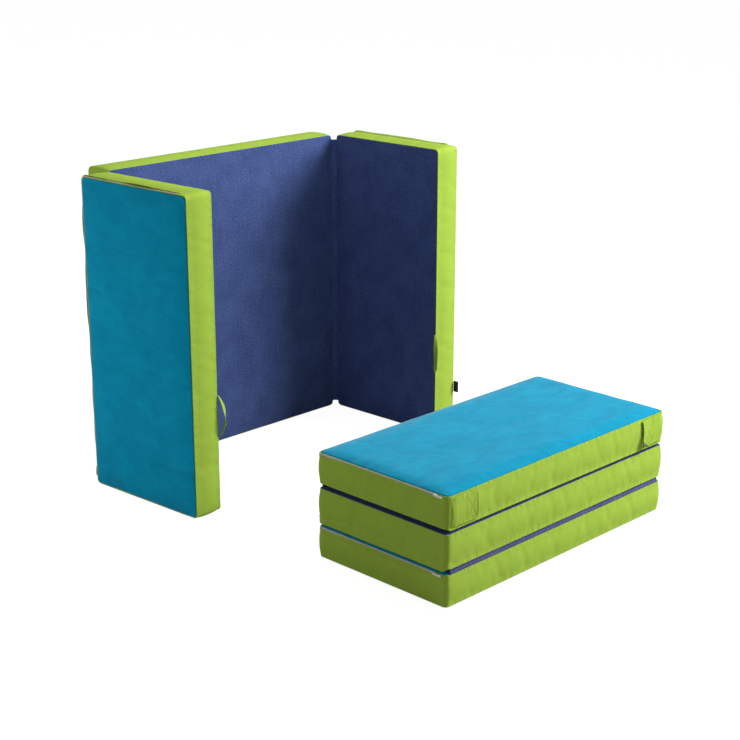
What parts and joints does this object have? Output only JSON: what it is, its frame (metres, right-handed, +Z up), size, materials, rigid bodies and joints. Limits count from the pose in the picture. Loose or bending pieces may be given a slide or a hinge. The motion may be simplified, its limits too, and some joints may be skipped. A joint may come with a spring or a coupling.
{
  "type": "mattress sofa",
  "caption": "Nursery mattress sofa: a padded surround that stands as a U on cloth hinges and a separate seat mattress folded in a Z, with zipped covers, handles and flaps.",
  "frame": {"origin": "on the floor, under the middle of the back section", "axes": "+X to the right seen from the open front, +Y to the rear, +Z up"},
  "size_m": [1.4889, 1.9002, 1.2305],
  "materials": {
    "teal_plush": "matte short pile",
    "navy_weave": "matte fine weave",
    "lime_cloth": "matte",
    "hinge_cloth": "matte",
    "foam": "open cell",
    "zip_tape": "woven tape with a coil",
    "zip_metal": "enamelled",
    "hook_loop": "nylon hooks and loops",
    "label_cloth": "woven, blank"
  },
  "bodies": {
    "back_panel": {"back_foam_core": "foam", "back_border": "lime_cloth", "back_plush_face": "teal_plush", "back_woven_face": "navy_weave", "back_zip_tape": "zip_tape"},
    "left_side": {"left_foam_core": "foam", "left_border": "lime_cloth", "left_plush_face": "teal_plush", "left_woven_face": "navy_weave", "left_zip_tape": "zip_tape"},
    "right_side": {"right_foam_core": "foam", "right_border": "lime_cloth", "right_plush_face": "teal_plush", "right_woven_face": "navy_weave", "right_zip_tape": "zip_tape", "label_tab": "label_cloth"},
    "seat_bottom": {"seat_bottom_foam_core": "foam", "seat_bottom_border": "lime_cloth", "seat_bottom_plush_face": "teal_plush", "seat_bottom_woven_face": "navy_weave", "seat_bottom_zip_tape": "zip_tape"},
    "seat_middle": {"seat_middle_foam_core": "foam", "seat_middle_border": "lime_cloth", "seat_middle_plush_face": "teal_plush", "seat_middle_woven_face": "navy_weave", "seat_middle_zip_tape": "zip_tape"},
    "seat_top": {"seat_top_foam_core": "foam", "seat_top_border": "lime_cloth", "seat_top_plush_face": "teal_plush", "seat_top_woven_face": "navy_weave", "seat_top_zip_tape": "zip_tape", "left_flap_loop_patch": "hook_loop", "right_flap_loop_patch": "hook_loop"},
    "left_hinge": {"left_corner_hinge": "hinge_cloth"},
    "right_hinge": {"right_corner_hinge": "hinge_cloth"},
    "front_hinge": {"seat_front_hinge": "hinge_cloth"},
    "rear_hinge": {"seat_rear_hinge": "hinge_cloth"},
    "left_handle": {"left_handle": "lime_cloth"},
    "left_flap": {"left_flap": "lime_cloth", "left_flap_hook_patch": "hook_loop"},
    "right_handle": {"right_handle": "lime_cloth"},
    "right_flap": {"right_flap": "lime_cloth", "right_flap_hook_patch": "hook_loop"},
    "back_zip_slider": {"back_zip_slider": "zip_metal"},
    "back_zip_pull": {"back_zip_pull": "zip_metal"},
    "left_zip_slider": {"left_zip_slider": "zip_metal"},
    "left_zip_pull": {"left_zip_pull": "zip_metal"},
    "right_zip_slider": {"right_zip_slider": "zip_metal"},
    "right_zip_pull": {"right_zip_pull": "zip_metal"},
    "seat_bottom_zip_slider": {"seat_bottom_zip_slider": "zip_metal"},
    "seat_bottom_zip_pull": {"seat_bottom_zip_pull": "zip_metal"},
    "seat_middle_zip_slider": {"seat_middle_zip_slider": "zip_metal"},
    "seat_middle_zip_pull": {"seat_middle_zip_pull": "zip_metal"},
    "seat_top_zip_slider": {"seat_top_zip_slider": "zip_metal"},
    "seat_top_zip_pull": {"seat_top_zip_pull": "zip_metal"}
  },
  "joints": [
    {"name": "left_back_seam", "type": "hinge", "parent": "back_panel", "child": "left_hinge", "pos_m": [-0.59, -0.0625, 0.615], "axis": [0, 0, 1], "range_deg": [-46.5, 43]},
    {"name": "left_side_seam", "type": "hinge", "parent": "left_hinge", "child": "left_side", "pos_m": [-0.60408, -0.07747, 0.615], "axis": [0, 0, 1], "range_deg": [-47, 41]},
    {"name": "right_back_seam", "type": "hinge", "parent": "back_panel", "child": "right_hinge", "pos_m": [0.59, -0.0625, 0.615], "axis": [0, 0, 1], "range_deg": [-45.5, 44]},
    {"name": "right_side_seam", "type": "hinge", "parent": "right_hinge", "child": "right_side", "pos_m": [0.60552, -0.07749, 0.615], "axis": [0, 0, 1], "range_deg": [-44, 44]},
    {"name": "seat_slide", "type": "slide", "parent": "back_panel", "child": "seat_bottom", "axis": [0, 1, 0], "range_m": [-0.3, 0.5]},
    {"name": "seat_front_lower_seam", "type": "hinge", "parent": "seat_bottom", "child": "front_hinge", "pos_m": [0, -1.8165, 0.122], "axis": [1, 0, 0], "range_deg": [0, 90]},
    {"name": "seat_front_upper_seam", "type": "hinge", "parent": "front_hinge", "child": "seat_middle", "pos_m": [0, -1.8165, 0.146], "axis": [1, 0, 0], "range_deg": [0, 90]},
    {"name": "seat_rear_lower_seam", "type": "hinge", "parent": "seat_middle", "child": "rear_hinge", "pos_m": [0, -1.2165, 0.264], "axis": [-1, 0, 0], "range_deg": [0, 90]},
    {"name": "seat_rear_upper_seam", "type": "hinge", "parent": "rear_hinge", "child": "seat_top", "pos_m": [0, -1.2165, 0.28], "axis": [-1, 0, 0], "range_deg": [0, 90]},
    {"name": "left_handle_swing", "type": "hinge", "parent": "left_side", "child": "left_handle", "pos_m": [-0.56929, -0.64641, 0.3785], "axis": [0, 0, 1], "range_deg": [-35, 35]},
    {"name": "right_handle_swing", "type": "hinge", "parent": "right_side", "child": "right_handle", "pos_m": [0.62542, -0.64714, 0.3615], "axis": [0, 0, 1], "range_deg": [-35, 35]},
    {"name": "left_flap_lift", "type": "hinge", "parent": "seat_top", "child": "left_flap", "pos_m": [-0.588, -1.8273, 0.339], "axis": [0, 0, -1], "range_deg": [0, 170]},
    {"name": "right_flap_lift", "type": "hinge", "parent": "seat_top", "child": "right_flap", "pos_m": [0.588, -1.8273, 0.339], "axis": [0, 0, 1], "range_deg": [0, 170]},
    {"name": "back_zip_run", "type": "slide", "parent": "back_panel", "child": "back_zip_slider", "axis": [0, 0, 1], "range_m": [0, 1.03]},
    {"name": "back_pull_swing", "type": "hinge", "parent": "back_zip_slider", "child": "back_zip_pull", "pos_m": [-0.59796, 0.0565, 0.137], "axis": [0, 1, 0], "range_deg": [0, 170]},
    {"name": "left_zip_run", "type": "slide", "parent": "left_side", "child": "left_zip_slider", "axis": [0, 0, 1], "range_m": [0, 1.12]},
    {"name": "left_pull_swing", "type": "hinge", "parent": "left_zip_slider", "child": "left_zip_pull", "pos_m": [-0.72335, -0.07679, 0.062], "axis": [0.9981, 0.0611, 0], "range_deg": [0, 170]},
    {"name": "right_zip_run", "type": "slide", "parent": "right_side", "child": "right_zip_slider", "axis": [0, 0, 1], "range_m": [0, 1.12]},
    {"name": "right_pull_swing", "type": "hinge", "parent": "right_zip_slider", "child": "right_zip_pull", "pos_m": [0.72417, -0.06538, 0.062], "axis": [0.9994, 0.0349, 0], "range_deg": [0, 170]},
    {"name": "seat_bottom_zip_run", "type": "slide", "parent": "seat_bottom", "child": "seat_bottom_zip_slider", "axis": [0, 1, 0], "range_m": [0, 0.51]},
    {"name": "seat_bottom_pull_swing", "type": "hinge", "parent": "seat_bottom_zip_slider", "child": "seat_bottom_zip_pull", "pos_m": [-0.60852, -1.7675, 0.116], "axis": [0, 0, -1], "range_deg": [0, 170]},
    {"name": "seat_middle_zip_run", "type": "slide", "parent": "seat_middle", "child": "seat_middle_zip_slider", "axis": [0, -1, 0], "range_m": [0, 0.49]},
    {"name": "seat_middle_pull_swing", "type": "hinge", "parent": "seat_middle_zip_slider", "child": "seat_middle_zip_pull", "pos_m": [0.60852, -1.2655, 0.152], "axis": [0, 0, -1], "range_deg": [0, 170]},
    {"name": "seat_top_zip_run", "type": "slide", "parent": "seat_top", "child": "seat_top_zip_slider", "axis": [0, 1, 0], "range_m": [0, 0.51]},
    {"name": "seat_top_pull_swing", "type": "hinge", "parent": "seat_top_zip_slider", "child": "seat_top_zip_pull", "pos_m": [-0.60852, -1.7675, 0.392], "axis": [0, 0, -1], "range_deg": [0, 170]}
  ]
}
